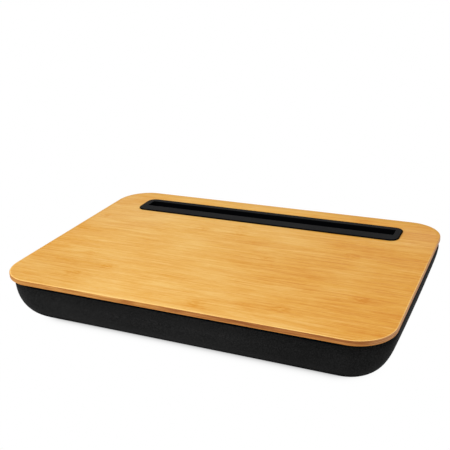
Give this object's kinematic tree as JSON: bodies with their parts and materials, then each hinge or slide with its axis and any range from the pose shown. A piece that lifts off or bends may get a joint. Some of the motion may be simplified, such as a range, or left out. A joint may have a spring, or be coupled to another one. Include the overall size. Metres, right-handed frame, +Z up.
{
  "type": "lap desk",
  "caption": "Lap desk with a thin bamboo board with round corners, a long black media slot near its back edge, and a black fabric-covered foam cushion with curved-in sides.",
  "frame": {"origin": "on the floor, under the middle of the board", "axes": "+Z up; +X to the right along the front edge; +Y from the front edge to the back edge, where the slot is"},
  "size_m": [0.38, 0.262, 0.0519],
  "materials": {
    "bamboo": "satin",
    "black_plastic": "matte",
    "black_fabric": "matte",
    "foam": "matte",
    "fibreboard": "matte",
    "foam_tape": "matte",
    "staple_steel": "satin"
  },
  "bodies": {
    "root": {"top_board": "bamboo", "slot_insert": "black_plastic", "cushion_cover": "black_fabric", "foam_core": "foam", "carrier_plate": "fibreboard", "tape_front": "foam_tape", "tape_back": "foam_tape", "tape_left": "foam_tape", "tape_right": "foam_tape", "staple_front_1": "staple_steel", "staple_front_2": "staple_steel", "staple_front_3": "staple_steel", "staple_front_4": "staple_steel", "staple_front_5": "staple_steel", "staple_front_6": "staple_steel", "staple_front_7": "staple_steel", "staple_right_1": "staple_steel", "staple_right_2": "staple_steel", "staple_right_3": "staple_steel", "staple_right_4": "staple_steel", "staple_right_5": "staple_steel", "staple_back_1": "staple_steel", "staple_back_2": "staple_steel", "staple_back_3": "staple_steel", "staple_back_4": "staple_steel", "staple_back_5": "staple_steel", "staple_back_6": "staple_steel", "staple_back_7": "staple_steel", "staple_left_1": "staple_steel", "staple_left_2": "staple_steel", "staple_left_3": "staple_steel", "staple_left_4": "staple_steel", "staple_left_5": "staple_steel"}
  },
  "joints": []
}
